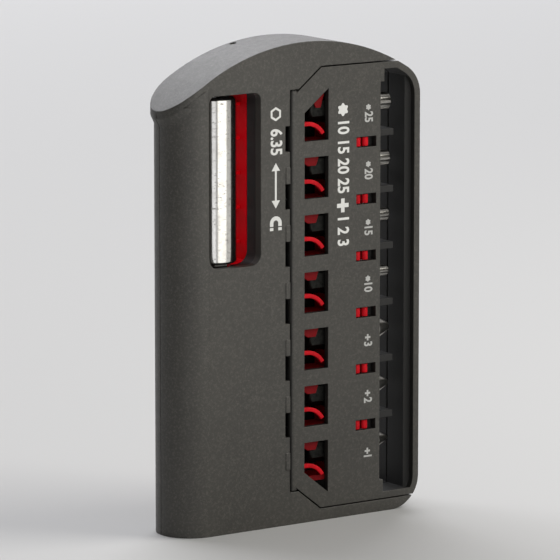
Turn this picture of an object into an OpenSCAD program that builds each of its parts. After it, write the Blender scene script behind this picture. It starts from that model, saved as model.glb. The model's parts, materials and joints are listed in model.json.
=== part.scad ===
// Pocket case for screwdriver bits, standing on its flat base.
// Two racks swing out of the case on hinge pins, one to the front and one to the back.
// Each rack carries a row of 25 mm hex bits in a red comb. A magnetic bit holder sits in a
// red cradle behind the window beside the spine. X is to the right, Y to the back, Z up.

/* [Case] */
// Width of the case body, from spine to rim
body_w = 70; // [70:0.5:74]
// Depth of the case, from front face to back face
body_d = 17; // [17:0.5:19]
// How far the arched crown stands above the racks
crown_rise = 6.5; // [5.5:0.5:8]
// Radius of the arched top
crown_r = 56; // [54:1:70]
// Thickness of the front and back face plates
face_t = 2.4; // [2:0.1:2.6]

/* [Racks] */
// Distance between neighbouring bits in a rack
bit_pitch = 14; // [14:0.5:16]
// Height of the rack beyond its first and last bit
rack_margin = 12.1; // [11.5:0.1:13]
// Thickness of a rack's outer plate
rack_t = 1.6; // [1.4:0.1:1.8]
// Gap between a rack and the case around it
rack_gap = 0.35; // [0.3:0.05:0.5]

/* [Bits] */
// Length of a bit
bit_len = 25; // [24:0.5:25.5]
// Hex shank size across flats
hex_af = 6.35; // [6:0.05:6.35]

/* [Bit holder] */
// Outside diameter of the holder's sleeve
sleeve_d = 11; // [10:0.5:11]
// Length of the holder's sleeve
sleeve_len = 40.4; // [36:0.2:40.6]
// Length of the holder's hex shank
shank_len = 18; // [14:1:18]

/* [Hidden] */
// name, shape of the tip, size, side (-1 front rack, 1 rear rack), place from the top
BITS = [
    ["bit_star_25", "star", 25, -1, 0],
    ["bit_star_20", "star", 20, -1, 1],
    ["bit_star_15", "star", 15, -1, 2],
    ["bit_star_10", "star", 10, -1, 3],
    ["bit_cross_3", "cross", 3, -1, 4],
    ["bit_cross_2", "cross", 2, -1, 5],
    ["bit_cross_1", "cross", 1, -1, 6],
    ["bit_star_30", "star", 30, 1, 0],
    ["bit_star_27", "star", 27, 1, 1],
    ["bit_star_8", "star", 8, 1, 2],
    ["bit_ribbed_cross_3", "ribbed", 3, 1, 3],
    ["bit_ribbed_cross_2", "ribbed", 2, 1, 4],
    ["bit_ribbed_cross_1", "ribbed", 1, 1, 5],
];

$fn = 96;
black = [0.10, 0.10, 0.10];
red = [0.72, 0.03, 0.05];
steel = [0.75, 0.75, 0.73];
dark_steel = [0.22, 0.22, 0.23];
big = 200;          // larger than the case in every direction
eps = 0.01;

// Case. Every "a" distance is measured from the spine side of the body, along X.
lip = 1;            // how far the top flange stands out past the spine
lip_t = 1.3;
lip_taper = 2;      // height over which the flange runs back into the spine
left_x = lip - (body_w + lip) / 2;
right_x = left_x + body_w;
half_d = body_d / 2;
spine_x = left_x + half_d;
crown_t = 2.2;
seam = 0.12;        // open seam between the two shells
floor_t = 2.9;
corner_r = 8;       // the two corners on the rim side, seen from the front
front_bits = 7;     // the rear rack holds one fewer, half a pitch lower
rack_z0 = floor_t + rack_gap;
rack_z1 = rack_z0 + 2 * rack_margin + (front_bits - 1) * bit_pitch;
body_h = rack_z1 + rack_gap + crown_rise - 0.3;
crown_a = 37.1;
crown_x = left_x + crown_a;
corner_x = right_x - corner_r;
// The upper rim corner touches the arch from inside.
corner_z = body_h - crown_r + sqrt(pow(crown_r - corner_r, 2) - pow(corner_x - crown_x, 2));

// Racks
rack_a = 32;        // the racks' hinge edge
rack_split = 0.3;   // inner edge of a rack, from the mid-plane
chamfer_a = 8.8;    // run and rise of the racks' cut corners
chamfer_z = 7;
bay_drop = 6.8;     // distance of the end windows below the cut corners
barrel_r = 1.1;
knuckle_r = 1.75;   // space in the case around each end of a hinge barrel
knuckle_h = 2.1 * barrel_r * chamfer_z / chamfer_a + rack_gap;
hinge_x = left_x + rack_a + barrel_r;
hinge_y = half_d - barrel_r;
pin_r = 0.6;
pin_play = 0.05;
pin_z0 = 1;
pin_z1 = rack_z1 + 0.4;
rim_t = 1.6;
bit_a = 38.6;       // rear ends of the bits
bit_raise = 1.9;    // height of a bit above the middle of its place in the rack
bit_y = half_d - rack_t - 0.1 - hex_af / 2;
bay_a = 35.9;       // small window over each bit's rear end
bay_w = 7;
bay_h = 10.1;
bay_low = 5.6;      // foot of the window, below the middle of its place
clip_a = 51.1;      // slot over each pair of snap prongs
clip_w = 5.9;
clip_h = 2.6;
tip_a = 58.2;       // long window over the bits' tips
tip_step = 1.1;
jaw_rise = 0.35;    // how far the comb's tabs stand out into the small windows
tip_step_h = 3.1;

// Bit holder and its bay
holder_a = 15.3;
holder_x = left_x + holder_a;
window_w = 14.7;
window_h = sleeve_len + 1.3;
window_z1 = body_h - 11.35;
window_z0 = window_z1 - window_h;
well_d = 6.8;       // depth of the window's own walls
well_step = 0.4;    // how much wider the window is behind the face plate
well_t = 1.2;
sleeve_z0 = window_z0 + 0.4;
core_r = sleeve_d / 2 - 1.4;
socket_depth = 10;
magnet_h = 3;
magnet_r = 2.9;
cradle_w = 16.6;    // clear width between the cradle's side walls
cradle_t = 1.6;
shelf_t = 4.4;
shelf_r = 4.1;      // half width of the shelf's slot for the shank

// Lock
bar_a = 25.4;
bar_t = 2.4;
bar_y = 4.3;
bar_z0 = 8;
bar_len = window_z1 + 0.4 - bar_z0;
lock_travel = 3.5;
divider_a = 28.4;
divider_t = 1.1;
tail_a = 29.9;
tail_h = 3;
tail_y = 4.1;       // inner face of a tail, from the mid-plane
tail_t = 1.6;
tooth_gap = 0.2;
tooth_d = 1.8;
tooth_a = 31.5;
tooth_clear = 0.5;  // free height between an unlocked tooth and its tail
thumb_z = 26;
thumb_len = 12;
thumb_w = 6.2;
thumb_t = 1.05;
post_w = 2;
post_h = 4;

function front_place_z(i) = rack_z1 - rack_margin - i * bit_pitch;
function rear_place_z(i) = front_place_z(i) - bit_pitch / 2;
function place_z(side, i) = side < 0 ? front_place_z(i) : rear_place_z(i);
function bit_count(side) = side < 0 ? front_bits : front_bits - 1;
front_tails = [front_place_z(1) - bit_pitch / 2, front_place_z(5) - bit_pitch / 2];
rear_tails = [rear_place_z(1) - bit_pitch / 2, rear_place_z(4) - bit_pitch / 2];

// Extrudes a drawing of the front view (x, z) backwards, from depth y0 to y1.
module front_view(y0, y1) {
    translate([0, y1, 0]) rotate([90, 0, 0]) linear_extrude(y1 - y0) children();
}

// A box given by its low and high corners.
module block(low, high) {
    translate(low) cube(high - low);
}

// Repeats its child for the front side, or mirrored for the rear side.
module on_side(side) {
    mirror([0, side > 0 ? 1 : 0, 0]) children();
}

// Everything under the arched top, in the front view.
module crown(inset) {
    translate([crown_x, body_h - crown_r]) {
        circle(r = crown_r - inset, $fn = 360);
        translate([-big / 2, -big]) square(big);
    }
}

// Outline of the whole case from the front, drawn in by "inset".
module case_outline(inset = 0) {
    intersection() {
        crown(inset);
        union() {
            translate([left_x - lip, inset]) square([corner_x - left_x + lip, body_h]);
            translate([corner_x - 1, corner_r]) square([corner_r - inset + 1, corner_z - corner_r]);
            translate([corner_x, corner_r]) circle(r = corner_r - inset);
            translate([corner_x, corner_z]) circle(r = corner_r - inset);
            translate([corner_x - 1, corner_z]) square([tangent_x() - corner_x + 1, body_h]);
        }
    }
}

// X where the arch passes into the rim corner.
function tangent_x() = crown_x + (corner_x - crown_x) * crown_r / (crown_r - corner_r);

// Plan of the case from above: a round spine with flat faces running to the right.
module plan(half, a1) {
    translate([spine_x, 0]) circle(r = half);
    translate([spine_x, -half]) square([left_x + a1 - spine_x, 2 * half]);
}

module body_block() {
    intersection() {
        front_view(-half_d, half_d) case_outline();
        linear_extrude(body_h) plan(half_d, body_w);
    }
    // flange along the arched top, standing out past the spine
    intersection() {
        translate([spine_x - lip, 0, 0]) cylinder(r = half_d, h = body_h);
        front_view(-half_d, half_d) difference() {
            crown(0);
            crown(lip_t);
        }
    }
    // taper under the flange, as a leaning cylinder inside the flange's own plan
    lean = atan(lip / lip_taper);
    z = body_h - crown_r + sqrt(pow(crown_r - lip_t, 2) - pow(crown_a + lip, 2));
    intersection() {
        translate([spine_x - lip, 0, z]) rotate([0, -lean, 0])
            translate([0, 0, -2 * half_d]) cylinder(r = half_d * cos(lean), h = 3 * half_d);
        translate([spine_x - lip, 0, z - 2 * lip_taper]) cylinder(r = half_d, h = 2 * lip_taper + 3);
        block([left_x - lip - 1, -half_d, 0], [spine_x - 1.5, half_d, body_h]);
        front_view(-half_d, half_d) crown(lip_t / 2);
    }
}

// Hollow of the spine, which holds the bit holder and the lock bar, drawn in by "gap".
module cavity(gap = 0) {
    intersection() {
        front_view(-half_d, half_d) difference() {
            crown(crown_t + gap);
            translate([-big / 2, -big + floor_t + gap]) square(big);
        }
        linear_extrude(body_h) plan(half_d - face_t - gap, rack_a - rack_gap + eps - gap);
    }
}

// Outline of a rack, or of the bay around it where "gap" is wider than 0.
module rack_shape(gap) {
    a = left_x + rack_a;
    slant = sqrt(pow(chamfer_a, 2) + pow(chamfer_z, 2));
    side_z = chamfer_z - gap * (slant - chamfer_z) / chamfer_a;
    top_x = chamfer_a + gap * (chamfer_a - slant) / chamfer_z;
    polygon([
        [a - gap, rack_z0 + side_z], [a - gap, rack_z1 - side_z],
        [a + top_x, rack_z1 + gap], [right_x + 1, rack_z1 + gap],
        [right_x + 1, rack_z0 - gap], [a + top_x, rack_z0 - gap],
    ]);
}

// One half of the case body, hollowed, on the front side of the seam.
module shell_half() {
    difference() {
        intersection() {
            body_block();
            block([-big, -big, -1], [big, -seam / 2, big]);
        }
        cavity();
        front_view(-half_d - 1, 1) rack_shape(rack_gap);
        translate([hinge_x, -hinge_y, pin_z0]) cylinder(r = pin_r, h = pin_z1 - pin_z0);
        // room for the corner of the rack to swing past both ends of its hinge barrel
        for (z = [rack_z0 + chamfer_z - knuckle_h, rack_z1 - chamfer_z])
            translate([hinge_x, -hinge_y, z]) cylinder(r = knuckle_r, h = knuckle_h);
    }
}

// Skin over the arched top, in one piece from the front face to the back face.
module top_skin(thick) {
    difference() {
        intersection() {
            body_block();
            front_view(-half_d - 1, half_d + 1) difference() {
                crown(-1);
                crown(thick);
            }
        }
        front_view(-half_d - 1, half_d + 1) rack_shape(rack_gap);
    }
}

// Wall between the spine's hollow and the racks, with slots for the lock's teeth.
module divider(tails) {
    z1 = window_z1 + 4;
    difference() {
        block([left_x + divider_a, face_t - half_d - eps, floor_t - eps],
              [left_x + divider_a + divider_t, -seam / 2, z1]);
        for (z = tails)
            block([left_x + divider_a - 1, -tail_y - 0.4, z - tail_h / 2 - tail_h - tooth_clear - 0.4],
                  [left_x + divider_a + divider_t + 1, 1, z + tail_h / 2 + 0.6]);
    }
}

// Two notched ribs that guide the lock bar.
module bar_guides() {
    for (z = [12, window_z0 - 16])
        difference() {
            block([left_x + bar_a - 2, face_t - half_d - eps, z],
                  [left_x + divider_a + eps, -seam / 2, z + 1.6]);
            block([left_x + bar_a - 0.15, -bar_y - 0.15, z - 1],
                  [left_x + bar_a + bar_t + 0.15, 1, z + 3]);
        }
}

// Posts for the four case screws: over the window, above the racks, in the spine, at the foot.
screw_at = [
    [left_x + 17.5, window_z1 + 3.85], [left_x + 41, body_h - 3.7],
    [left_x + 6.2, window_z0 - 12], [left_x + 20, floor_t + 3.6],
];
post_r = 2.1;
screw_r = 1.1;
head_r = 2;

module screw_posts() {
    for (p = screw_at)
        translate([p[0], -seam / 2, p[1]]) rotate([90, 0, 0])
            cylinder(r = post_r, h = half_d - face_t - seam / 2 + 0.1);
}

// Rectangle with rounded corners in the front view.
module rounded(x, z, w, h, r0, r1) {
    translate([x, z + r0]) square([w, h - r0 - r1]);
    translate([x + r0, z]) square([w - 2 * r0, r0 + eps]);
    translate([x + r1, z + h - r1 - eps]) square([w - 2 * r1, r1 + eps]);
    for (i = [0, 1]) {
        translate([x + r0 + i * (w - 2 * r0), z + r0]) circle(r = r0);
        translate([x + r1 + i * (w - 2 * r1), z + h - r1]) circle(r = r1);
    }
}

window_x = holder_x - window_w / 2 + 0.65;

// The holder's window in the front view, grown by "grow".
module window(grow) {
    rounded(window_x - grow, window_z0 - grow, window_w + 2 * grow, window_h + 2 * grow,
            2.8 + grow, 1.8 + grow);
}

// Notches in the face plate beside the hinge barrel, one between each pair of bits.
module hinge_notches(side) {
    for (i = [0 : bit_count(side) - 2])
        block([left_x + rack_a - rack_gap - 1.3, -half_d - 1, place_z(side, i) - bit_pitch / 2 - 0.6],
              [left_x + rack_a, face_t - half_d + 0.5, place_z(side, i) - bit_pitch / 2 + 5.6]);
}

// Low pads on the face plate beside the hinge, one beside each bit.
module hinge_pads(side) {
    for (i = [1 : bit_count(side) - 1])
        block([left_x + rack_a - rack_gap - 1.2, -half_d - 0.25, place_z(side, i) - 1.6],
              [left_x + rack_a - rack_gap, -half_d + eps, place_z(side, i) + 2.6]);
}

module front_shell() {
    color(black) difference() {
        union() {
            shell_half();
            top_skin(lip_t);
            divider(front_tails);
            bar_guides();
            screw_posts();
            hinge_pads(-1);
            // walls of the window, standing inwards
            intersection() {
                front_view(-half_d + eps, -half_d + well_d) window(well_step + well_t);
                body_block();
            }
        }
        front_view(-half_d - 1, 0) window(0);
        front_view(-half_d + face_t, 0) window(well_step);
        // room for the holder's shank under the window
        translate([holder_x, 0, window_z0 - 3]) cylinder(r = shelf_r, h = 4);
        hinge_notches(-1);
        lanyard_hole();
        for (p = screw_at)
            translate([p[0], 1, p[1]]) rotate([90, 0, 0]) cylinder(r = screw_r - 0.15, h = 6.5);
    }
}

// Small hole in the top, close to the back edge.
module lanyard_hole() {
    translate([left_x + 25.5, half_d - 1.6, body_h - 8]) cylinder(r = 0.85, h = 12);
}

module rear_shell() {
    shaft_w = 8.8;
    shaft_z0 = sleeve_z0 - shank_len - 1.2;
    color(black) difference() {
        union() {
            on_side(1) {
                shell_half();
                divider(rear_tails);
                bar_guides();
                screw_posts();
                hinge_pads(1);
            }
        }
        // opening behind the holder: wide for the sleeve, narrow for the shank
        front_view(0, half_d + 1) {
            rounded(holder_x - 6.8, window_z0, 13.6, window_h, 1, 1.8);
            rounded(holder_x - shaft_w / 2, shaft_z0, shaft_w, window_z0 - shaft_z0 + 2, 1, 0.5);
        }
        on_side(1) hinge_notches(1);
        // screw holes with sunk heads
        for (p = screw_at)
            translate([p[0], half_d + 1, p[1]]) rotate([90, 0, 0]) {
                cylinder(r = screw_r + 0.15, h = body_d);
                cylinder(r = head_r + 0.2, h = 2.6);
            }
        // slot and recess of the thumb slide
        front_view(half_d - thumb_t - 0.15, half_d + 1)
            rounded(left_x + bar_a + bar_t / 2 - thumb_w / 2 - 0.3, thumb_z - thumb_len / 2 - 0.4,
                    thumb_w + 0.6, thumb_len + lock_travel + 0.8, 1.3, 1.3);
        block([left_x + bar_a + bar_t / 2 - post_w / 2 - 0.3, half_d - face_t - 1,
               thumb_z - post_h / 2 - 0.4],
              [left_x + bar_a + bar_t / 2 + post_w / 2 + 0.3, half_d + 1,
               thumb_z + post_h / 2 + lock_travel + 0.4]);
        lanyard_hole();
        // the front shell's skin lies over the whole top
        front_view(-1, half_d + 1) difference() {
            crown(-1);
            crown(lip_t + seam);
        }
    }
}

module case_screws() {
    color(steel) for (p = screw_at)
        translate([p[0], 0, p[1]]) rotate([-90, 0, 0]) difference() {
            union() {
                translate([0, 0, -4]) cylinder(r = screw_r - 0.15, h = half_d + 2.5);
                translate([0, 0, half_d - 1.6]) cylinder(r1 = screw_r, r2 = head_r, h = 1.1);
            }
            for (t = [0, 90]) rotate([0, 0, t])
                translate([-1.2, -0.25, half_d - 1.2]) cube([2.4, 0.5, 2]);
        }
}

// Red cradle behind the window: two side walls with snap ribs, standing on a shelf.
module holder_cradle() {
    y0 = well_d - half_d + 0.1;
    y1 = half_d - face_t;
    x0 = holder_x - cradle_w / 2;
    x1 = holder_x + cradle_w / 2;
    z0 = window_z0 + 0.15;
    z1 = window_z1 + 1;
    rib_pitch = 8.4;
    color(red) intersection() {
        union() {
            for (x = [x0 - cradle_t, x1]) block([x, y0, z0 - shelf_t], [x + cradle_t, y1, z1]);
            for (i = [0 : 4], s = [-1, 1])
                snap_rib(s, (y0 + y1) / 2, window_z1 - 3.7 - i * rib_pitch);
            difference() {
                union() {
                    block([x0 - cradle_t, y0, z0 - shelf_t], [x1 + cradle_t, y1, z0]);
                    block([x0 - cradle_t, -y1, z0 - shelf_t], [x1 + cradle_t, y1, z0 - well_step - well_t - 0.3]);
                }
                // room for the shank, open to the back
                translate([holder_x, 0, z0 - shelf_t - 1]) cylinder(r = shelf_r, h = shelf_t + 2);
                block([holder_x - shelf_r, 0, z0 - shelf_t - 1], [holder_x + shelf_r, half_d, z0 + 1]);
            }
        }
        cavity(0.1);
    }
}

// A short rib across the cradle's wall on side s, ending just short of the sleeve.
module snap_rib(s, y, z) {
    x = holder_x + s * (sleeve_d / 2 + 0.25);
    wall = holder_x + s * (cradle_w / 2 + eps);
    block([min(x, wall), y - 1.2, z - 0.4], [max(x, wall), y + 3.8, z + 0.4]);
}

module lock_bar() {
    x0 = left_x + bar_a;
    color(black) difference() {
        union() {
            block([x0, -bar_y, bar_z0], [x0 + bar_t, bar_y, bar_z0 + bar_len]);
            for (z = front_tails) tooth(-1, z);
            for (z = rear_tails) tooth(1, z);
        }
        // socket for the thumb slide's peg
        translate([x0 + bar_t / 2, bar_y - 3, thumb_z]) rotate([-90, 0, 0]) cylinder(r = 0.7, h = 4);
    }
}

// A tooth that blocks a rack's tail once the bar is pushed up.
module tooth(side, tail_z) {
    z1 = tail_z - tail_h / 2 - tooth_clear;
    y1 = tail_y - tooth_gap;
    on_side(side) block([left_x + bar_a + bar_t - eps, -y1, z1 - tail_h],
                        [left_x + tooth_a, -y1 + tooth_d, z1]);
}

module thumb_slide() {
    x = left_x + bar_a + bar_t / 2;
    grooves = 5;
    color(red) difference() {
        union() {
            front_view(half_d - thumb_t, half_d)
                rounded(x - thumb_w / 2, thumb_z - thumb_len / 2, thumb_w, thumb_len, 1, 1);
            block([x - post_w / 2, bar_y, thumb_z - post_h / 2],
                  [x + post_w / 2, half_d - thumb_t + eps, thumb_z + post_h / 2]);
            translate([x, bar_y - 2.8, thumb_z]) rotate([-90, 0, 0]) cylinder(r = 0.7, h = 3);
        }
        for (i = [0 : grooves - 1])
            translate([x - 2.2, half_d - 0.4, thumb_z + (i - (grooves - 1) / 2) * 1.8 - 0.4])
                cube([4.4, 1, 0.8]);
    }
}

module hinge_pin(side) {
    color(steel) on_side(side)
        translate([hinge_x, -hinge_y, pin_z0]) cylinder(r = pin_r, h = pin_z1 - pin_z0);
}

// Outer plate of a rack with its walls, hinge barrel and lock tails, drawn on the front side.
module rack_plate(side) {
    tails = side < 0 ? front_tails : rear_tails;
    color(black) on_side(side) difference() {
        union() {
            difference() {
                intersection() {
                    front_view(-half_d, -rack_split) rack_face();
                    union() {
                        rounded_edge();
                        block([hinge_x, -half_d - 1, -1], [right_x + 1, 0, body_h + 1]);
                    }
                }
                // hollow behind the plate, open to the middle and to the hinge
                front_view(-half_d + rack_t, 1) intersection() {
                    case_outline(rim_t);
                    rack_hollow();
                }
            }
            rounded_edge();
            for (z = tails) {
                block([left_x + tail_a, -tail_y - tail_t, z - tail_h / 2], [hinge_x, -tail_y, z + tail_h / 2]);
                block([hinge_x - 0.8 * barrel_r, -hinge_y, z - tail_h / 2],
                      [hinge_x + 0.8 * barrel_r, -tail_y, z + tail_h / 2]);
            }
            tip_ribs(side);
            // wall behind the barrel, between the hinge and the comb
            block([hinge_x - 0.3, -hinge_y, rack_z0 + chamfer_z],
                  [hinge_x + barrel_r, -rack_split - 0.6, rack_z1 - chamfer_z]);
        }
        translate([hinge_x, -hinge_y, 0]) cylinder(r = pin_r + pin_play, h = body_h);
        plate_windows(side);
    }
}

// The rack's full outline, cut to the case's outline.
module rack_face() {
    intersection() {
        case_outline();
        rack_shape(0);
    }
}

// Hinge barrel along the rack's straight edge, reaching a little past the cut corners.
module rounded_edge() {
    past = knuckle_h - rack_gap;
    translate([hinge_x, -hinge_y, rack_z0 + chamfer_z - past])
        cylinder(r = barrel_r, h = rack_z1 - rack_z0 - 2 * chamfer_z + 2 * past);
}

module rack_hollow() {
    translate([hinge_x - barrel_r - 1, rack_z0 + rim_t])
        square([right_x, rack_z1 - rack_z0 - 2 * rim_t]);
}

// Stiffening ribs that cross the tip window below its face, one between each pair of bits.
// The wider root of each rib closes the end of the prongs' slot from behind.
module tip_ribs(side) {
    for (i = [0 : bit_count(side) - 2]) {
        z = place_z(side, i) - bit_pitch / 2;
        block([left_x + tip_a - 1, -half_d + rack_t - eps, z + 0.8], [left_x + tip_a + 5, -0.6, z + 2.4]);
        block([left_x + clip_a + 4.7, -half_d + rack_t - eps, z - 1.6], [left_x + tip_a - 0.6, -2, z + 2.4]);
    }
}

module plate_windows(side) {
    n = bit_count(side);
    front_view(-half_d - 1, -half_d + rack_t + 0.5) {
        // window over each bit's rear end, drawn out to the cut corner at the top and bottom
        intersection() {
            for (i = [0 : n - 1]) translate([left_x + bay_a, place_z(side, i) - bay_low]) {
                square([bay_w, bay_h]);
                if (n == front_bits && i == 0) square([bay_w, 2 * bay_h]);
                if (n == front_bits && i == n - 1) translate([0, -bay_h]) square([bay_w, 2 * bay_h]);
            }
            slanted_limit();
        }
        // slots for the comb's snap prongs
        for (i = [0 : n - 2])
            translate([left_x + clip_a, place_z(side, i) - bit_pitch / 2 - clip_h / 2])
                square([clip_w, clip_h]);
    }
    // long window over the tips
    front_view(-half_d - 1, -half_d + rack_t + eps) intersection() {
        case_outline(rim_t);
        translate([left_x + tip_a, rack_z0 + rim_t]) difference() {
            square([body_w, rack_z1 - rack_z0 - 2 * rim_t]);
            for (z = [-eps, rack_z1 - rack_z0 - 2 * rim_t - tip_step_h])
                translate([-1, z]) square([1 + tip_step, tip_step_h + eps]);
        }
    }
}

// Region that keeps the end windows parallel to the rack's cut corners.
module slanted_limit() {
    rise = chamfer_z / chamfer_a;
    margin = chamfer_z + bay_drop - rise * (bay_a - rack_a);
    low_margin = margin - 1.5;      // stays clear of the last spring finger
    polygon([
        [left_x + bay_a, rack_z0 + low_margin], [left_x + bay_a, rack_z1 - margin],
        [left_x + bay_a + bay_w, rack_z1 - margin + rise * bay_w],
        [left_x + bay_a + bay_w, rack_z0 + low_margin - rise * bay_w],
    ]);
}

// Red comb that holds the bits: a spine, a tooth between each pair of bits, and spring fingers.
module rack_insert(side) {
    n = bit_count(side);
    back_a = 34.4;
    back_t = 1.8;
    wall_t = 1.3;
    y0 = -half_d + rack_t;
    y1 = -0.9;
    z_low = place_z(side, n - 1) - 5.6;
    z_high = place_z(side, 0) + 5.95;
    color(red) on_side(side) difference() {
        union() {
            block([left_x + back_a, y0, z_low], [left_x + back_a + back_t, y1, z_high]);
            for (z = [z_low, z_high - 0.2])
                block([left_x + back_a + 1, y0, z], [left_x + clip_a - 3, y1, z + wall_t]);
            for (i = [0 : n - 2]) comb_tooth(place_z(side, i) - bit_pitch / 2, y0, y1, back_a + 1);
            for (i = [0 : n - 1]) {
                bit_rest(place_z(side, i), y0, y1);
                spring_finger(place_z(side, i), y0);
                if (side < 0 && i == 0) corner_jaw(place_z(side, i), y0);
                else jaw(place_z(side, i), y0, back_a + back_t);
            }
        }
        // relief behind each bit, so that the spine looks through at the sides
        for (i = [0 : n - 1])
            block([left_x + back_a - 1, y0 + 3.4, place_z(side, i) - 0.5],
                  [left_x + back_a + back_t + 1, y1 + 1, place_z(side, i) + 4.3]);
    }
}

// A tooth of the comb with its two rounded snap prongs, which stand in the plate's slot.
module comb_tooth(z, y0, y1, a0) {
    tooth_h = 2.6;
    prong_r = 0.87;
    prong_h = 2.2;
    prong_y = y0 - rack_t + 0.35 + prong_r;
    block([left_x + a0, y0, z - tooth_h / 2], [left_x + clip_a + 4.4, y1, z + tooth_h / 2]);
    for (a = [clip_a + 0.1, clip_a + 2.35]) {
        translate([left_x + a + prong_r, prong_y, z - prong_h / 2]) cylinder(r = prong_r, h = prong_h);
        block([left_x + a, prong_y, z - prong_h / 2], [left_x + a + 2 * prong_r, y0 + eps, z + prong_h / 2]);
    }
}

// Ledge under a bit's shank.
module bit_rest(z, y0, y1) {
    z1 = z + bit_raise - hex_af / 2 / cos(30) - 0.13;
    block([left_x + 44, y0 + 0.2, z1 - 4], [left_x + 47, y1, z1]);
}

// Tab inside the plate's window, over the upper part of a bit's rear end.
module jaw(z, y0, a1) {
    front_view(y0 - jaw_rise, y0 + eps) polygon([
        [left_x + bay_a + 0.3, z + 3.2], [left_x + bay_a + 0.3, z + 4.35], [left_x + bay_a + 5, z + 4.35],
        [left_x + bay_a + 4.2, z + 2.2], [left_x + bay_a + 1.9, z + 2.2],
    ]);
    block([left_x + a1 - 0.2, y0, z + 3.2], [left_x + bay_a + 1.2, y0 + 0.8, z + 4.35]);
}

// The same tab in the window at the cut corner, where it hangs from the comb's end wall.
module corner_jaw(z, y0) {
    front_view(y0 - jaw_rise, y0 + eps) polygon([
        [left_x + bay_a + 3.6, z + 3.3], [left_x + bay_a + 4.1, z + 2.2],
        [left_x + bay_a + 5.5, z + 2.2], [left_x + bay_a + 6.5, z + 5.6],
    ]);
    block([left_x + bay_a + 5.9, y0 - jaw_rise, z + 4.9], [left_x + bay_a + 6.5, y0 + 0.9, z + 5.95]);
}

// Curved spring finger that lies across a bit's rear end, inside the plate's window.
module spring_finger(z, y0) {
    r = 5.7;
    thick = 1;
    sweep = 60;
    root_x = left_x + bay_a + 0.15;
    bend_x = left_x + bay_a + 1.2;
    front_view(y0 - rack_t + 0.4, y0 - 0.05) {
        translate([root_x, z - 0.9 - thick]) square([bend_x - root_x + eps, thick]);
        // arc from level to a steep downward slope
        translate([bend_x, z - 0.9 - r]) intersection() {
            difference() {
                circle(r = r);
                circle(r = r - thick);
            }
            polygon([[0, 0], [0, 2 * r], [2 * r * sin(sweep / 2), 2 * r * cos(sweep / 2)],
                     [2 * r * sin(sweep), 2 * r * cos(sweep)]]);
        }
    }
    // root of the finger on the comb
    block([root_x, y0 - rack_t + 0.4, z - 0.9 - thick], [root_x + 0.9, y0 + 0.9, z - 0.9]);
}

// One bit, lying along X from its rear end at the origin.
module bit_shape(kind, size) {
    hex_len = 11.5;
    neck_r = 2.15;
    rotate([0, 90, 0]) {
        // hex shank with a bevelled end
        intersection() {
            cylinder(d = hex_af / cos(30), h = hex_len, $fn = 6);
            union() {
                cylinder(r1 = hex_af / 2 - 0.25, r2 = hex_af / 2 + 0.85, h = 1.1);
                translate([0, 0, 1.1 - eps]) cylinder(r = hex_af / 2 + 0.85, h = hex_len);
            }
        }
        translate([0, 0, hex_len]) cylinder(r1 = hex_af / 2 - 0.1, r2 = neck_r, h = 1);
        translate([0, 0, hex_len - 1]) cylinder(r = neck_r, h = 7);
        if (kind == "star") star_tip(size, hex_len + 5);
        else cross_tip(size, hex_len + 5, kind == "ribbed");
    }
}

// Six-lobed tip. Its outer and inner diameters follow the standard sizes.
module star_tip(size, z0) {
    sizes = [[8, 2.31, 1.67], [10, 2.74, 1.98], [15, 3.27, 2.34], [20, 3.86, 2.76],
             [25, 4.43, 3.16], [27, 4.99, 3.57], [30, 5.52, 3.95]];
    row = [for (s = sizes) if (s[0] == size) s][0];
    outer = row[1];
    inner = row[2];
    flute = 0.203 * outer;
    head_r = max(2.7, outer / 2 + 0.25);
    head_z = z0 + 1;
    tip_len = 4.6;
    translate([0, 0, z0]) cylinder(r1 = 2.15, r2 = head_r, h = 1);
    translate([0, 0, head_z - eps]) cylinder(r = head_r, h = bit_len - tip_len - head_z);
    translate([0, 0, bit_len - tip_len - 2 * eps])
        cylinder(r1 = head_r, r2 = inner / 2, h = (head_r - inner / 2) * 0.8);
    intersection() {
        translate([0, 0, bit_len - tip_len]) linear_extrude(tip_len) difference() {
            circle(d = outer, $fn = 60);
            for (i = [0 : 5]) rotate(60 * i)
                translate([inner / 2 + flute, 0]) circle(r = flute, $fn = 36);
        }
        union() {
            cylinder(r = outer, h = bit_len - 0.5);
            translate([0, 0, bit_len - 0.5 - eps]) cylinder(r1 = outer / 2, r2 = outer / 2 - 0.45, h = 0.5 + eps);
        }
    }
}

// Cross tip: a pointed cone with four hollow flutes, and thin ribs between the wings if ribbed.
module cross_tip(size, z0, ribs) {
    shaft_r = [2.3, 3, 3.1][size - 1];
    wing = [0.85, 1.15, 1.6][size - 1];
    blunt_r = [0.55, 0.75, 1.1][size - 1];
    cone_h = (shaft_r - blunt_r) / tan(26.5);
    translate([0, 0, z0]) cylinder(r1 = 2.15, r2 = max(2.15, shaft_r), h = 1);
    difference() {
        union() {
            translate([0, 0, z0 + 1 - eps]) cylinder(r = shaft_r, h = bit_len - cone_h - z0 - 1);
            translate([0, 0, bit_len - cone_h - 2 * eps]) cylinder(r1 = shaft_r, r2 = blunt_r, h = cone_h);
        }
        for (i = [0 : 3]) rotate([0, 0, 90 * i])
            translate([wing / 2, wing / 2, bit_len]) rotate([9, -9, 0])
                translate([0, 0, -12]) cube([6, 6, 14]);
    }
    if (ribs) for (t = [45, 135]) intersection() {
        translate([0, 0, bit_len - cone_h - 0.5]) cylinder(r1 = shaft_r - 0.4, r2 = blunt_r, h = cone_h + 0.3);
        rotate([0, 0, t]) translate([-shaft_r, -0.2, 0]) cube([2 * shaft_r, 0.4, bit_len]);
    }
}

module bit(b) {
    side = b[3];
    color(dark_steel)
        translate([left_x + bit_a, side * bit_y, place_z(side, b[4]) + bit_raise]) bit_shape(b[1], b[2]);
}

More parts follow.
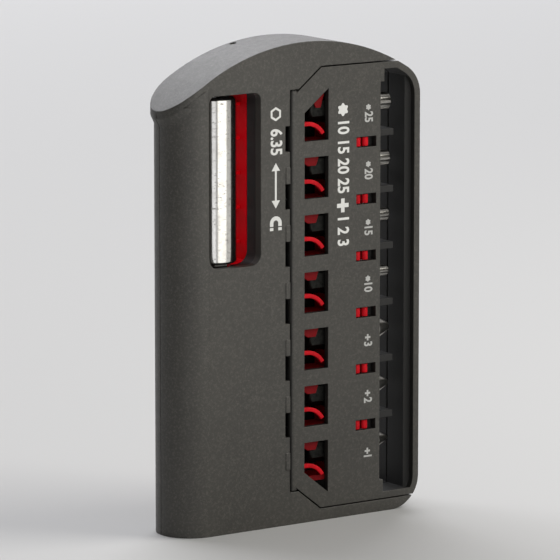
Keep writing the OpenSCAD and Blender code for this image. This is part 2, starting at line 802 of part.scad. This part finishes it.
module holder_sleeve() {
    color(steel) translate([holder_x, 0, sleeve_z0]) rotate_extrude()
        polygon([
            [core_r, 0], [sleeve_d / 2 - 0.5, 0], [sleeve_d / 2, 0.5],
            [sleeve_d / 2, sleeve_len - 0.7], [sleeve_d / 2 - 0.7, sleeve_len], [core_r, sleeve_len],
        ]);
}

module holder_core() {
    groove = 1;
    color(dark_steel) translate([holder_x, 0, sleeve_z0]) difference() {
        union() {
            translate([0, 0, 0.4]) cylinder(r = core_r, h = sleeve_len - 0.8);
            translate([0, 0, -shank_len]) intersection() {
                cylinder(d = hex_af / cos(30), h = shank_len + 1, $fn = 6);
                union() {
                    cylinder(r1 = hex_af / 2 - 0.25, r2 = hex_af / 2 + 0.85, h = 1.1);
                    translate([0, 0, 1.1 - eps]) cylinder(r = hex_af / 2 + 0.85, h = shank_len);
                }
            }
        }
        // hex socket with a pocket for the magnet under it
        translate([0, 0, sleeve_len - socket_depth])
            cylinder(d = (hex_af + 0.12) / cos(30), h = socket_depth, $fn = 6);
        translate([0, 0, sleeve_len - socket_depth - magnet_h])
            cylinder(r = magnet_r, h = magnet_h + eps);
        // groove for the retaining ring
        translate([0, 0, sleeve_len - 2.6]) cylinder(r = hex_af / 2 + 0.75, h = groove);
        // locating groove round the hex shank
        translate([0, 0, -shank_len + 8]) rotate_extrude()
            translate([hex_af / 2 + 0.9, 0]) circle(r = 1.1);
    }
}

module holder_magnet() {
    color(steel) translate([holder_x, 0, sleeve_z0 + sleeve_len - socket_depth - magnet_h])
        cylinder(r = magnet_r, h = magnet_h - 0.05);
}

// Open spring ring in the mouth of the socket.
module holder_retaining_ring() {
    color(steel) translate([holder_x, 0, sleeve_z0 + sleeve_len - 2.4]) difference() {
        cylinder(r = hex_af / 2 + 0.65, h = 0.6);
        translate([0, 0, -1]) cylinder(r = hex_af / 2 + 0.15, h = 3);
        translate([0, -0.8, -1]) cube([6, 1.6, 3]);
    }
}

front_shell();
rear_shell();
case_screws();
holder_cradle();
lock_bar();
thumb_slide();
hinge_pin(-1);  // front_hinge_pin
hinge_pin(1);  // rear_hinge_pin
rack_plate(-1);  // front_rack_plate
rack_plate(1);  // rear_rack_plate
rack_insert(-1);  // front_rack_insert
rack_insert(1);  // rear_rack_insert
holder_sleeve();
holder_core();
holder_magnet();
holder_retaining_ring();
for (b = BITS) bit(b);
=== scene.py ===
"""Looks of the driver bit case: softened edges, materials, printed marks, camera and light."""
import json
import math

import bmesh
import bpy
from mathutils import Matrix, Vector

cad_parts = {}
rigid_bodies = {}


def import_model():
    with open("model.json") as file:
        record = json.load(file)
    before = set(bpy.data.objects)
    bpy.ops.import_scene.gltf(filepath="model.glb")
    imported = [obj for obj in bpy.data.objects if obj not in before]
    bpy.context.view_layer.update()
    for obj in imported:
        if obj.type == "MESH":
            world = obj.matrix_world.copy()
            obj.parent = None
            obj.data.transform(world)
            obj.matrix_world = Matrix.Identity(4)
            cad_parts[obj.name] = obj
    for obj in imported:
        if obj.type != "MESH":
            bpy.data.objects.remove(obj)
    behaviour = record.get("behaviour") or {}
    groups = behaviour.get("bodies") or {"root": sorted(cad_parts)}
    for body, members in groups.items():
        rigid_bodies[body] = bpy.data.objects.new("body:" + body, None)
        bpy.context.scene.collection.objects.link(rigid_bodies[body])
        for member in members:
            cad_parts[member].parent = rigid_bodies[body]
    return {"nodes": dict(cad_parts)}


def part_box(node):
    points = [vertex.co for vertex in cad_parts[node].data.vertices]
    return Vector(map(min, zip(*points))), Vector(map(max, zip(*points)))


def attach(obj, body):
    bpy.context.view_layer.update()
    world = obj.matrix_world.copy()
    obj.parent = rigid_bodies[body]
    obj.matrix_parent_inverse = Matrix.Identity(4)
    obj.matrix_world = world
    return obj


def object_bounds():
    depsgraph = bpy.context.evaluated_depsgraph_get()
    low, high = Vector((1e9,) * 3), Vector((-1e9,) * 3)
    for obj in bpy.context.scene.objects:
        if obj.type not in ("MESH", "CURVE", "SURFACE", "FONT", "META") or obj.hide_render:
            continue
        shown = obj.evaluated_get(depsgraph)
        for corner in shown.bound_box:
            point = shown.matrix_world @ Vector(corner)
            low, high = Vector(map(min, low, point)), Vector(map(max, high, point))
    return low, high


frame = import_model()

MM = 0.001
scene = bpy.context.scene
nodes = frame["nodes"]
cad_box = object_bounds()

# The case's outline, from the boxes of its CAD nodes and the radii of its arch and corners
CROWN_R = 56 * MM
CORNER_R = 8 * MM
CROWN_OFF = 3.6 * MM      # the arch's centre, to the right of the middle of the whole box
LIP = 1 * MM              # how far the flange stands out past the spine
HALF_D = -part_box("front_rack_plate")[0].y      # half the case's depth, and the spine's radius
SPINE_X = cad_box[0].x + LIP + HALF_D
CROWN_X = (cad_box[0].x + cad_box[1].x) / 2 + CROWN_OFF - LIP
CROWN_Z = cad_box[1].z - CROWN_R
CORNER_X = cad_box[1].x - CORNER_R
CORNER_LOW = CORNER_R
CORNER_HIGH = CROWN_Z + math.sqrt((CROWN_R - CORNER_R) ** 2 - (CORNER_X - CROWN_X) ** 2)

FRONT_BITS = ["bit_star_25", "bit_star_20", "bit_star_15", "bit_star_10",
              "bit_cross_3", "bit_cross_2", "bit_cross_1"]
REAR_BITS = ["bit_star_30", "bit_star_27", "bit_star_8",
             "bit_ribbed_cross_3", "bit_ribbed_cross_2", "bit_ribbed_cross_1"]
# Side (-1 in front, 1 behind), body, bits from the top down, and the star sizes in its row of print
RACKS = ((-1, "front_rack", FRONT_BITS, "10 15 20 25"), (1, "rear_rack", REAR_BITS, "8 27 30"))


# ---------------------------------------------------------------- camera and light
VIEW_AZIMUTH = math.radians(-34)
VIEW_ELEVATION = math.radians(10)
VIEW_DISTANCE = 1.1
FRAME_HEIGHT = 0.136      # height of what the picture shows, at the object

WHITE = (1.0, 1.0, 1.0)
WARM = (1.0, 0.975, 0.92)
COOL = (0.965, 0.965, 1.0)
SKY_STRENGTH = 0.12
FLOOR_SIZE = 8
FLOOR_PAPER = (0.70, 0.70, 0.695, 1)

# Upright cards that stand in front: azimuth in degrees, width, height, radiance and colour
CARD_DISTANCE = 0.30
CARD_FOOT = 0.005         # height of their lower edge over the floor
CARDS = {
    "card_right": (8, 0.26, 0.34, 1.62, WARM),
    "card_left": (-39.5, 0.16, 0.10, 0.95, COOL),
}
# Softboxes: azimuth and elevation in degrees, distance, width, height, radiance and colour.
# The cards and the piece lights leave the floor out, which would burn out so close to them.
PIECE_LIGHTS = {"softbox_front": (-8, 34, 0.9, 0.5, 0.4, 1.6, WHITE)}
ROOM_LIGHTS = {
    "softbox_side": (56, 36, 0.80, 0.46, 0.42, 4.9, WARM),
    "softbox_back": (168, 38, 3.5, 5.4, 1.9, 4.0, COOL),
    "backdrop": (155, 8, 3.5, 4.5, 0.9, 0.7, COOL),
    "softbox_above": (0, 90, 2.0, 3.0, 3.0, 0.30, WHITE),
}


def direction(azimuth, elevation):
    """Unit vector from the object towards a place round it. Azimuth 0 is in front, along -Y."""
    return Vector((math.sin(azimuth) * math.cos(elevation),
                   -math.cos(azimuth) * math.cos(elevation), math.sin(elevation)))


def aim(obj, place, target):
    obj.location = place
    obj.rotation_euler = (target - place).to_track_quat("-Z", "Y").to_euler()


def make_camera(target):
    data = bpy.data.cameras.new("camera")
    camera = bpy.data.objects.new("camera", data)
    scene.collection.objects.link(camera)
    data.lens = data.sensor_width * VIEW_DISTANCE / FRAME_HEIGHT
    data.clip_start = 0.05
    data.clip_end = 20
    aim(camera, target + VIEW_DISTANCE * direction(VIEW_AZIMUTH, VIEW_ELEVATION), target)
    scene.camera = camera


def softbox(name, azimuth, elevation, distance, width, height, radiance, color, target, receivers):
    """Soft light on the target, hidden from the camera. It lights only the receivers, if there are any."""
    data = bpy.data.lights.new(name, "AREA")
    data.shape = "RECTANGLE"
    data.size = width
    data.size_y = height
    data.energy = radiance * math.pi * width * height
    data.color = color
    light = bpy.data.objects.new(name, data)
    scene.collection.objects.link(light)
    light.visible_camera = False
    light.light_linking.receiver_collection = receivers
    place = target + distance * direction(math.radians(azimuth), math.radians(elevation))
    aim(light, place, target)


def make_light(target):
    """Cards that the upright faces reflect, a front light for the recesses, and the room's lights."""
    pieces = bpy.data.collections.new("lit_pieces")
    for obj in scene.objects:
        if obj.type == "MESH" and obj.name != "floor":
            pieces.objects.link(obj)
    for name, (azimuth, width, height, radiance, color) in CARDS.items():
        middle = Vector((target.x, target.y, CARD_FOOT + height / 2))
        softbox(name, azimuth, 0, CARD_DISTANCE, width, height, radiance, color, middle, pieces)
    for name, values in PIECE_LIGHTS.items():
        softbox(name, *values, target, pieces)
    for name, values in ROOM_LIGHTS.items():
        softbox(name, *values, target, None)
    world = bpy.data.worlds.new("studio")
    scene.world = world
    world.use_nodes = True
    background = world.node_tree.nodes["Background"]
    background.inputs["Color"].default_value = (*WHITE, 1)
    background.inputs["Strength"].default_value = SKY_STRENGTH


def make_floor():
    bpy.ops.mesh.primitive_plane_add(size=FLOOR_SIZE, location=(0, 0, 0))
    floor = bpy.context.object
    floor.name = "floor"
    mat, shader, _ = new_material("floor_paper")
    shader.inputs["Base Color"].default_value = FLOOR_PAPER
    shader.inputs["Roughness"].default_value = 0.9
    shader.inputs["Specular IOR Level"].default_value = 0.1
    floor.data.materials.append(mat)


# ---------------------------------------------------------------- materials
EDGE_R = 0.22 * MM        # radius that the black plastic's edges are shaded with


def new_material(name):
    """A material, its shader, and a function that adds a node with its input values."""
    mat = bpy.data.materials.new(name)
    mat.use_nodes = True
    tree = mat.node_tree
    shader = tree.nodes["Principled BSDF"]

    def add(kind, inputs=None, **settings):
        node = tree.nodes.new("ShaderNode" + kind)
        for key, value in settings.items():
            setattr(node, key, value)
        for key, value in (inputs or {}).items():
            if isinstance(value, bpy.types.NodeSocket):
                tree.links.new(value, node.inputs[key])
            else:
                node.inputs[key].default_value = value
        return node

    return mat, shader, add


def link(mat, socket, target):
    mat.node_tree.links.new(socket, target)


def stretched(add, scale):
    """Object coordinates, scaled along each axis."""
    place = add("TexCoord").outputs["Object"]
    return add("Mapping", {"Vector": place, "Scale": scale}).outputs["Vector"]


def noise(add, place, scale, detail=4.0, rough=0.55):
    return add("TexNoise", {"Vector": place, "Scale": scale, "Detail": detail,
                            "Roughness": rough}).outputs["Fac"]


def ramp(add, value, stops):
    """Colour ramp through (position, colour) stops."""
    node = add("ValToRGB", {"Fac": value})
    elements = node.color_ramp.elements
    while len(elements) < len(stops):
        elements.new(0.5)
    for element, (position, color) in zip(elements, stops):
        element.position = position
        element.color = (*color, 1)
    return node.outputs["Color"]


def remap(add, value, low, high, to_low, to_high):
    return add("MapRange", {"Value": value, "From Min": low, "From Max": high,
                            "To Min": to_low, "To Max": to_high}).outputs["Result"]


def bump(add, height, distance, strength=1.0, normal=None):
    inputs = {"Height": height, "Distance": distance, "Strength": strength}
    if normal is not None:
        inputs["Normal"] = normal
    return add("Bump", inputs).outputs["Normal"]


def mixed(add, factor, a, b):
    """Colour b over colour a by factor."""
    node = add("Mix", {0: factor}, data_type="RGBA")
    for socket, value in ((6, a), (7, b)):
        if isinstance(value, bpy.types.NodeSocket):
            node.id_data.links.new(value, node.inputs[socket])
        else:
            node.inputs[socket].default_value = (*value, 1)
    return node.outputs[2]


def edge_wear_and_highlight(add, radius):
    """A mask, 1 where the rounded normal is far from the true one and 0 on faces, and that normal."""
    true = add("NewGeometry").outputs["Normal"]
    rounded = add("Bevel", {"Radius": radius}, samples=6).outputs["Normal"]
    cosine = add("VectorMath", {0: true, 1: rounded}, operation="DOT_PRODUCT").outputs["Value"]
    return remap(add, cosine, 0.99, 0.80, 0.0, 1.0), rounded


def calc(add, operation, a, b=None):
    inputs = {0: a} if b is None else {0: a, 1: b}
    return add("Math", inputs, operation=operation).outputs["Value"]


def shaded(color, factor):
    """A colour, darkened or lightened by a factor."""
    return [channel * factor for channel in color]


def length2(add, a, b):
    """Length of the vector (a, b)."""
    squares = calc(add, "ADD", calc(add, "MULTIPLY", a, a), calc(add, "MULTIPLY", b, b))
    return calc(add, "SQRT", squares)


def past(add, value, start):
    """How far a value goes past a start, and 0 before it."""
    return calc(add, "MAXIMUM", calc(add, "SUBTRACT", value, start), 0.0)


def below_skin(add, place):
    """Height over the outside of the case: 0 on the outside, and negative on everything inside."""
    xyz = add("SeparateXYZ", {"Vector": place}).outputs
    depth = calc(add, "ABSOLUTE", xyz["Y"])
    faces = calc(add, "SUBTRACT", depth, HALF_D)
    past_spine = calc(add, "MINIMUM", calc(add, "SUBTRACT", xyz["X"], SPINE_X), 0.0)
    spine = calc(add, "SUBTRACT", length2(add, past_spine, depth), HALF_D)
    over = past(add, xyz["Z"], CROWN_Z)
    across = calc(add, "SUBTRACT", xyz["X"], CROWN_X)
    crown = calc(add, "SUBTRACT", length2(add, across, over), CROWN_R)
    past_rim = past(add, xyz["X"], CORNER_X)
    off_middle = calc(add, "SUBTRACT", xyz["Z"], (CORNER_LOW + CORNER_HIGH) / 2)
    past_corner = past(add, calc(add, "ABSOLUTE", off_middle), (CORNER_HIGH - CORNER_LOW) / 2)
    rim = calc(add, "SUBTRACT", length2(add, past_rim, past_corner), CORNER_R)
    return calc(add, "MAXIMUM", calc(add, "MAXIMUM", faces, spine), calc(add, "MAXIMUM", crown, rim))


def black_plastic(name, tone, grain, wall_depth, wall_tone):
    """Moulded black plastic: spark-eroded and a little dusty outside, clean inside and darkened there by a
    painted shade.

    Down to wall_depth the inside has wall_tone times the tone as painted shade, and below it a painted
    shadow of deeper black.
    """
    mat, shader, add = new_material(name)
    place = stretched(add, (1, 1, 1))
    height = below_skin(add, place)
    outside = remap(add, height, -0.30 * MM, -0.12 * MM, 0.0, 1.0)
    # Painted shade on the inside walls, and a deeper painted shadow below wall_depth
    wall = remap(add, height, -wall_depth - 0.15 * MM, -wall_depth + 0.15 * MM, 0.0, 1.0)
    inside = mixed(add, wall, shaded(tone, 0.12), shaded(tone, wall_tone))
    cloud = noise(add, place, 70, 3)
    speck = noise(add, place, 1700, 4, 0.8)
    base = ramp(add, cloud, [(0.30, shaded(tone, 0.88)), (0.72, shaded(tone, 1.10))])
    dust = remap(add, speck, 0.48, 0.66, 0.0, 0.55)
    color = mixed(add, dust, base, shaded(tone, 2.6))
    # Lighter edges in patches: partly wear, partly a painted highlight along the edges
    edge, rounded = edge_wear_and_highlight(add, EDGE_R)
    patches = remap(add, noise(add, place, 420, 5, 0.7), 0.4, 0.62, 0.0, 0.8)
    color = mixed(add, calc(add, "MULTIPLY", edge, patches), color, shaded(tone, 2.0))
    link(mat, mixed(add, outside, inside, color), shader.inputs["Base Color"])
    satin = remap(add, noise(add, place, 600, 4, 0.65), 0.3, 0.7, 0.42, 0.50)
    rough = add("Mix", {0: outside, 2: 0.62, 3: satin}, data_type="FLOAT").outputs[0]
    link(mat, rough, shader.inputs["Roughness"])
    grained = bump(add, noise(add, place, grain, 2, 0.6), 0.014 * MM, 0.9, rounded)
    link(mat, bump(add, speck, 0.025 * MM, 0.5, grained), shader.inputs["Normal"])
    shader.inputs["Specular IOR Level"].default_value = 0.50
    return mat


def red_plastic(name, low, high, deep, gloss):
    """Red plastic with faint flow marks, and a painted shade that darkens it by "deep" where it lies well
    inside the case.
    """
    mat, shader, add = new_material(name)
    place = stretched(add, (1, 1, 1))
    flow = noise(add, stretched(add, (1, 1, 0.35)), 260, 4, 0.65)
    color = ramp(add, flow, [(0.3, low), (0.7, high)])
    depth = calc(add, "ABSOLUTE", add("SeparateXYZ", {"Vector": place}).outputs["Y"])
    # Painted shade: below the shallow parts the red is darkened by "deep"
    shallow = remap(add, depth, HALF_D - 1.15 * MM, HALF_D - 0.8 * MM, 0.0, 1.0)
    shade = mixed(add, flow, shaded(low, deep), shaded(high, deep))
    link(mat, mixed(add, shallow, shade, color), shader.inputs["Base Color"])
    link(mat, remap(add, noise(add, place, 700, 4), 0.3, 0.7, 0.40, 0.55), shader.inputs["Roughness"])
    link(mat, bump(add, noise(add, place, 1300, 3), 0.012 * MM, 0.6), shader.inputs["Normal"])
    shader.inputs["Specular IOR Level"].default_value = gloss
    return mat


def polished_steel():
    """Polished steel: fine turning lines round the axis, rub marks along it, stains and dark scuffs."""
    mat, shader, add = new_material("polished_steel")
    lines = noise(add, stretched(add, (1, 1, 30)), 260, 3, 0.7)
    rubs = noise(add, stretched(add, (14, 14, 1)), 60, 5, 0.75)
    stain = noise(add, stretched(add, (1, 1, 1)), 330, 6, 0.7)
    scuffs = noise(add, stretched(add, (1, 1, 2.5)), 700, 4, 0.8)
    tint = ramp(add, stain, [(0.25, (0.46, 0.445, 0.42)), (0.55, (0.58, 0.57, 0.545)),
                             (0.8, (0.64, 0.63, 0.61))])
    scuffed = remap(add, scuffs, 0.575, 0.66, 0.0, 0.80)
    link(mat, mixed(add, scuffed, tint, (0.13, 0.125, 0.11)), shader.inputs["Base Color"])
    shader.inputs["Metallic"].default_value = 1.0
    link(mat, remap(add, rubs, 0.35, 0.75, 0.10, 0.26), shader.inputs["Roughness"])
    link(mat, bump(add, lines, 0.004 * MM, 0.5), shader.inputs["Normal"])
    return mat


def bit_steel(tip_x):
    """Phosphated bit steel, dark on the shank and bright where the tip is ground, beyond tip_x."""
    mat, shader, add = new_material("bit_steel")
    place = stretched(add, (1, 1, 1))
    along = add("SeparateXYZ", {"Vector": place}).outputs["X"]
    ragged = calc(add, "MULTIPLY", noise(add, place, 700, 4), 1.6 * MM)
    bright = remap(add, calc(add, "ADD", along, ragged), tip_x, tip_x + 2.2 * MM, 0.0, 1.0)
    mottle = noise(add, place, 900, 5, 0.7)
    shank = ramp(add, mottle, [(0.3, (0.009, 0.009, 0.0085)), (0.7, (0.028, 0.028, 0.026))])
    tip = ramp(add, mottle, [(0.3, (0.22, 0.215, 0.20)), (0.7, (0.36, 0.35, 0.33))])
    link(mat, mixed(add, bright, shank, tip), shader.inputs["Base Color"])
    shader.inputs["Metallic"].default_value = 1.0
    link(mat, remap(add, bright, 0, 1, 0.48, 0.30), shader.inputs["Roughness"])
    rings = noise(add, stretched(add, (24, 1, 1)), 320, 2)
    link(mat, bump(add, rings, 0.006 * MM, 0.6), shader.inputs["Normal"])
    return mat


def fastener_steel(name, low, high):
    """Plated steel with a cloudy finish."""
    mat, shader, add = new_material(name)
    place = stretched(add, (1, 1, 1))
    cloudy = ramp(add, noise(add, place, 600, 4), [(0.3, low), (0.7, high)])
    link(mat, cloudy, shader.inputs["Base Color"])
    shader.inputs["Metallic"].default_value = 1.0
    link(mat, remap(add, noise(add, place, 1500, 3), 0.3, 0.7, 0.25, 0.42), shader.inputs["Roughness"])
    link(mat, bump(add, noise(add, place, 2500, 2), 0.004 * MM, 0.5), shader.inputs["Normal"])
    return mat


def print_ink(name, tone):
    """Pad-printed pale ink, a little worn so that specks of the plastic show."""
    mat, shader, add = new_material(name)
    place = stretched(add, (1, 1, 1))
    worn = remap(add, noise(add, place, 2600, 5, 0.75), 0.60, 0.74, 0.0, 0.7)
    ink = mixed(add, worn, (tone, tone, 0.965 * tone), (0.09, 0.085, 0.08))
    link(mat, ink, shader.inputs["Base Color"])
    link(mat, remap(add, noise(add, place, 900, 3), 0.3, 0.7, 0.45, 0.62), shader.inputs["Roughness"])
    link(mat, bump(add, noise(add, place, 3000, 2), 0.006 * MM, 0.5), shader.inputs["Normal"])
    return mat


# ---------------------------------------------------------------- CAD nodes
BEVEL_ANGLE = math.radians(38)
WELD_DISTANCE = 1e-6
TIP_LENGTH = 7.5 * MM     # ground length of a bit's tip


def dress(name, mat, width, clamp):
    """Gives a CAD node its material and soft edges: weld the mesh, bevel it, and keep the flats flat."""
    obj = nodes[name]
    obj.data.materials.clear()
    obj.data.materials.append(mat)
    weld = obj.modifiers.new("weld", "WELD")
    weld.merge_threshold = WELD_DISTANCE
    bevel = obj.modifiers.new("bevel", "BEVEL")
    bevel.width = width
    bevel.segments = 2
    bevel.limit_method = "ANGLE"
    bevel.angle_limit = BEVEL_ANGLE
    bevel.use_clamp_overlap = clamp
    bevel.miter_outer = "MITER_ARC"
    shade = obj.modifiers.new("shade", "WEIGHTED_NORMAL")
    shade.keep_sharp = False
    shade.weight = 50


def finish_cad_nodes():
    # The last two values of each black plastic give the depth and the tone of its painted shade inside
    case = black_plastic("case_plastic", (0.036, 0.034, 0.029), 3000, 2.5 * MM, 0.8)
    rack = black_plastic("rack_plastic", (0.034, 0.032, 0.027), 2800, 1.3 * MM, 0.35)
    # The fourth value is the painted shade of the deep parts: 0.34 on the comb, none on the cradle
    red = red_plastic("red_comb", (0.36, 0.002, 0.006), (0.56, 0.005, 0.013), 0.34, 0.12)
    cradle = red_plastic("red_cradle", (0.74, 0.001, 0.007), (0.96, 0.002, 0.012), 1.0, 0.04)
    fastener = fastener_steel("fastener_steel", (0.34, 0.33, 0.31), (0.50, 0.49, 0.47))
    blackened = fastener_steel("blackened_steel", (0.030, 0.029, 0.028), (0.060, 0.058, 0.055))
    nickel = fastener_steel("magnet_nickel", (0.50, 0.47, 0.42), (0.66, 0.63, 0.57))
    sleeve = polished_steel()
    # Material and bevel width of each node but the bits
    looks = {
        "front_shell": (case, 0.12 * MM), "rear_shell": (case, 0.12 * MM),
        "front_rack_plate": (rack, 0.20 * MM), "rear_rack_plate": (rack, 0.20 * MM),
        "lock_bar": (rack, 0.15 * MM), "thumb_slide": (red, 0.10 * MM),
        "holder_cradle": (cradle, 0.12 * MM), "front_rack_insert": (red, 0.12 * MM),
        "rear_rack_insert": (red, 0.12 * MM), "holder_sleeve": (sleeve, 0.12 * MM),
        "holder_core": (sleeve, 0.06 * MM), "holder_magnet": (nickel, 0.10 * MM),
        "holder_retaining_ring": (fastener, 0.05 * MM), "case_screws": (fastener, 0.05 * MM),
        "front_hinge_pin": (blackened, 0.1 * MM), "rear_hinge_pin": (blackened, 0.1 * MM),
    }
    for name, (mat, width) in looks.items():
        dress(name, mat, width, clamp=name.endswith("rack_plate"))
    steel = bit_steel(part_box(FRONT_BITS[0])[1].x - TIP_LENGTH)
    for name in FRONT_BITS + REAR_BITS:
        dress(name, steel, 0.05 * MM, clamp=True)


# ---------------------------------------------------------------- printed marks
PRINT_T = 0.05 * MM       # how thick the ink is drawn
PRINT_PROUD = 0.03 * MM   # how far it stands out of the face
BIT_RAISE = 1.9 * MM      # height of a bit above the middle of its place in the rack
SIZE_ALONG = 16.0 * MM    # from a bit's rear end to the middle of its size mark
SIZE_H = 2.3 * MM         # height of the small numerals
SIZE_ICON_R = 0.78 * MM
SIZE_GAP = 0.3 * MM
ROW_H = 3.2 * MM          # height of the large numerals
ROW_ICON_R = 1.7 * MM
ROW_STAR_R = 1.6 * MM
RACK_ROW_X = 14.0 * MM    # from the hinge pin to the row on a rack
RACK_ROW_TOP = 3.4 * MM   # how far that row starts below the sleeve's top
RACK_ROW_GAP = 1.3 * MM
ARROW_LENGTH = 11 * MM
ARROW_H = 2.4 * MM
HOLDER_ROW_X = -5.55 * MM
HOLDER_ROW_TOP = 2.9 * MM
HOLDER_ROW_GAP = 1.9 * MM
NUMERAL_HEIGHT = 0.71     # of the built-in font at size 1
NUMERAL_WIDTH = 0.84      # how much the numerals are narrowed


def text_mesh(words, height):
    """Flat bold numerals as a solid mesh in the XY plane, as tall as "height"."""
    curve = bpy.data.curves.new("words", "FONT")
    curve.body = words
    curve.size = height / NUMERAL_HEIGHT
    curve.align_x = "CENTER"
    curve.align_y = "CENTER"
    curve.offset = 0.038 * height
    curve.extrude = PRINT_T / 2
    curve.resolution_u = 5
    holder = bpy.data.objects.new("words", curve)
    scene.collection.objects.link(holder)
    bpy.context.view_layer.update()
    mesh = bpy.data.meshes.new_from_object(holder.evaluated_get(bpy.context.evaluated_depsgraph_get()))
    bpy.data.objects.remove(holder)
    mesh.transform(Matrix.Diagonal((NUMERAL_WIDTH, 1, 1, 1)))
    return mesh


def flat_mesh(outlines):
    """Solid mesh of flat outlines, each a list of (x, y) points."""
    mesh = bpy.data.meshes.new("mark")
    bm = bmesh.new()
    for outline in outlines:
        bottom = [bm.verts.new((x, y, -PRINT_T / 2)) for x, y in outline]
        top = [bm.verts.new((x, y, PRINT_T / 2)) for x, y in outline]
        bm.faces.new(top)
        bm.faces.new(reversed(bottom))
        for i in range(len(outline)):
            j = (i + 1) % len(outline)
            bm.faces.new((bottom[i], bottom[j], top[j], top[i]))
    bmesh.ops.recalc_face_normals(bm, faces=bm.faces)
    bm.to_mesh(mesh)
    bm.free()
    return mesh


def polar(radius, turn):
    """Point at a radius and an angle in turns."""
    return radius * math.cos(2 * math.pi * turn), radius * math.sin(2 * math.pi * turn)


def star_icon(radius):
    """Six-lobed drive, seen from its end."""
    steps = 48
    lobes = [0.86 + 0.14 * math.cos(12 * math.pi * i / steps) for i in range(steps)]
    return flat_mesh([[polar(radius * lobe, i / steps) for i, lobe in enumerate(lobes)]])


def cross_icon(radius):
    """Cross drive, seen from its end."""
    arm = 0.30 * radius
    upper = [(radius, arm), (arm, arm), (arm, radius), (-arm, radius), (-arm, arm), (-radius, arm)]
    return flat_mesh([upper + [(-x, -y) for x, y in upper]])


def hex_icon(radius):
    """Ring with six sides."""
    inner = 0.66 * radius
    return flat_mesh([[polar(radius, i / 6), polar(radius, (i + 1) / 6), polar(inner, (i + 1) / 6),
                       polar(inner, i / 6)] for i in range(6)])


def arrow_icon(length, height):
    """Arrow with a point at each end."""
    half = length / 2
    shaft = 0.11 * height
    neck = half - 0.8 * height
    right = [(neck, -shaft), (neck, -height / 2), (half, 0), (neck, height / 2), (neck, shaft)]
    return flat_mesh([right + [(-x, -y) for x, y in right]])


def magnet_icon(radius):
    """Horseshoe with two poles."""
    steps = 16
    inner = 0.42 * radius
    arc = [polar(1, 0.25 + 0.5 * i / steps) for i in range(steps + 1)]
    leg_end, pole_start, pole_end = 0.45 * radius, 0.62 * radius, 1.05 * radius
    body = ([(radius * x, radius * y) for x, y in arc] + [(leg_end, -radius), (leg_end, -inner)]
            + [(inner * x, inner * y) for x, y in reversed(arc)] + [(leg_end, inner), (leg_end, radius)])
    poles = [[(pole_start, y0), (pole_end, y0), (pole_end, y1), (pole_start, y1)]
             for y0, y1 in ((-radius, -inner), (inner, radius))]
    return flat_mesh([body] + poles)


def row(pieces, gap):
    """One mesh of several marks, side by side along X, that starts at the origin."""
    bm = bmesh.new()
    reach = 0.0
    for piece in pieces:
        xs = [v.co.x for v in piece.vertices]
        piece.transform(Matrix.Translation((reach - min(xs), 0, 0)))
        reach += max(xs) - min(xs) + gap
        bm.from_mesh(piece)
        bpy.data.meshes.remove(piece)
    mesh = bpy.data.meshes.new("row")
    bm.to_mesh(mesh)
    bm.free()
    return mesh


def place_print(name, mesh, x, y, z, side, body, ink):
    """Puts a mark on the front (side -1) or back (side 1) face, reading downwards from z."""
    obj = bpy.data.objects.new(name, mesh)
    scene.collection.objects.link(obj)
    turn = Matrix(((0, -side, 0), (0, 0, side), (-1, 0, 0))).to_4x4()
    obj.matrix_world = Matrix.Translation((x, y + side * (PRINT_PROUD - PRINT_T / 2), z)) @ turn
    mesh.materials.clear()
    mesh.materials.append(ink)
    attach(obj, body)


def size_mark(kind, size):
    """Icon of the drive and its size."""
    icon = star_icon(SIZE_ICON_R) if kind == "star" else cross_icon(SIZE_ICON_R)
    return row([icon, text_mesh(size, SIZE_H)], SIZE_GAP)


def make_prints():
    white = print_ink("white_print", 0.66)
    grey = print_ink("grey_print", 0.42)
    face_y = {-1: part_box("front_rack_plate")[0].y, 1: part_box("rear_rack_plate")[1].y}
    pins = {-1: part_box("front_hinge_pin"), 1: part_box("rear_hinge_pin")}
    pin_x = {side: (low.x + high.x) / 2 for side, (low, high) in pins.items()}
    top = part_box("holder_sleeve")[1].z
    for side, body, bits, _ in RACKS:
        for name in bits:
            low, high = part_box(name)
            mark = size_mark(name.split("_")[1], name.split("_")[-1])
            middle = (low.z + high.z) / 2 - BIT_RAISE
            half = max(v.co.x for v in mark.vertices) / 2
            place_print("print_size_" + name, mark, low.x + SIZE_ALONG, face_y[side], middle + half,
                        side, body, grey)
    mark = row([hex_icon(ROW_ICON_R), text_mesh("6.35", ROW_H), arrow_icon(ARROW_LENGTH, ARROW_H),
                magnet_icon(ROW_ICON_R)], HOLDER_ROW_GAP)
    place_print("print_holder", mark, pin_x[-1] + HOLDER_ROW_X, face_y[-1], top - HOLDER_ROW_TOP,
                -1, "case", white)
    for side, body, _, stars in RACKS:
        mark = row([star_icon(ROW_STAR_R), text_mesh(stars, ROW_H), cross_icon(ROW_ICON_R),
                    text_mesh("1 2 3", ROW_H)], RACK_ROW_GAP)
        place_print("print_row_" + body, mark, pin_x[side] + RACK_ROW_X, face_y[side], top - RACK_ROW_TOP,
                    side, body, white)


# ---------------------------------------------------------------- the scene
scene.view_settings.view_transform = "Standard"
centre = (cad_box[0] + cad_box[1]) / 2
make_camera(centre)
make_floor()
finish_cad_nodes()
make_prints()
make_light(centre)
